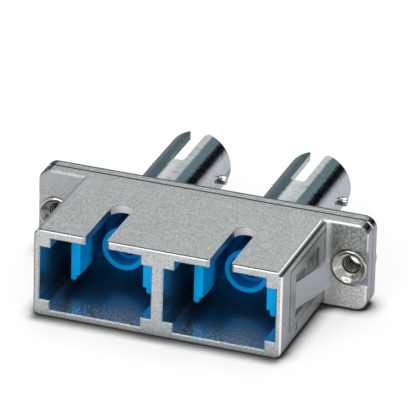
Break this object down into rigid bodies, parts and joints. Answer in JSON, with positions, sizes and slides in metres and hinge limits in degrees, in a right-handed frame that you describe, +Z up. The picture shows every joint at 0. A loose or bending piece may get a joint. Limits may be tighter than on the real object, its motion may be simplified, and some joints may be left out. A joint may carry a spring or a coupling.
{
  "type": "fibre optic coupler",
  "caption": "Duplex fibre optic coupler: square push-pull plug ports in front, slotted bayonet barrels behind, flanges with threaded inserts.",
  "frame": {"origin": "on the underside, midway between the ports and midway along the overall depth", "axes": "+X to the right seen from the ports, along the flange; +Y from the ports to the bayonet barrels; +Z up, towards the key slots"},
  "size_m": [0.0342, 0.0296, 0.0092],
  "materials": {
    "cast_plate": "nickel plated casting, fine grained",
    "insert_plate": "bright nickel",
    "spring_steel": "bright spring steel",
    "blue_plastic": "satin blue",
    "sleeve_ceramic": "white ceramic, polished",
    "retainer_plastic": "black"
  },
  "bodies": {
    "root": {"front_housing": "cast_plate", "rear_housing": "cast_plate", "threaded_insert_left": "insert_plate", "threaded_insert_right": "insert_plate", "side_spring_left": "spring_steel", "side_spring_right": "spring_steel", "latch_insert_left": "blue_plastic", "latch_insert_right": "blue_plastic", "alignment_sleeve_left": "sleeve_ceramic", "alignment_sleeve_right": "sleeve_ceramic", "sleeve_retainer_left": "retainer_plastic", "sleeve_retainer_right": "retainer_plastic"}
  },
  "joints": []
}
